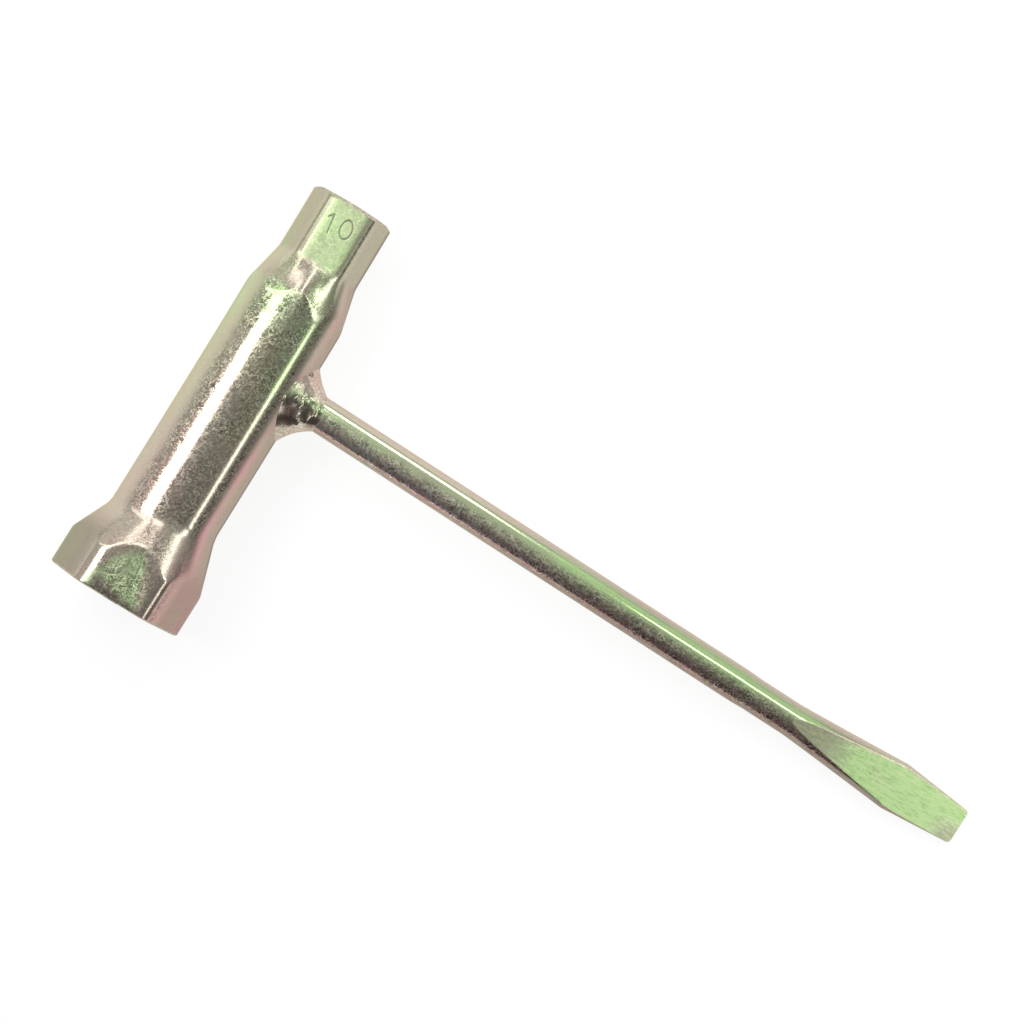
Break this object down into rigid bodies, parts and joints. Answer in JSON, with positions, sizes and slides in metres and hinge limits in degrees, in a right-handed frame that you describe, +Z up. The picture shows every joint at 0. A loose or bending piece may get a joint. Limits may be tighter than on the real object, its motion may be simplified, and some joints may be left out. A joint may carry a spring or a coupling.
{
  "type": "t-wrench",
  "caption": "T-wrench: a tube swaged to a hexagon socket at each end, with a round bar welded square to its side that ends in a flat screwdriver blade.",
  "frame": {"origin": "under the middle of the tool's box, on the surface that the tool lies on", "axes": "+X along the bar towards the blade, +Y along the tube towards the small socket, +Z up as the tool lies at rest"},
  "size_m": [0.1604, 0.0808, 0.0239],
  "materials": {
    "plated_tube": "yellow zinc chromate plating with a green and pink sheen, scuffed",
    "plated_bar": "yellow zinc chromate plating with a green and pink sheen, drawn marks along the bar",
    "plated_weld": "plated weld metal, lumpy"
  },
  "bodies": {
    "root": {"socket_tube": "plated_tube", "screwdriver_bar": "plated_bar", "weld_bead": "plated_weld"}
  },
  "joints": []
}
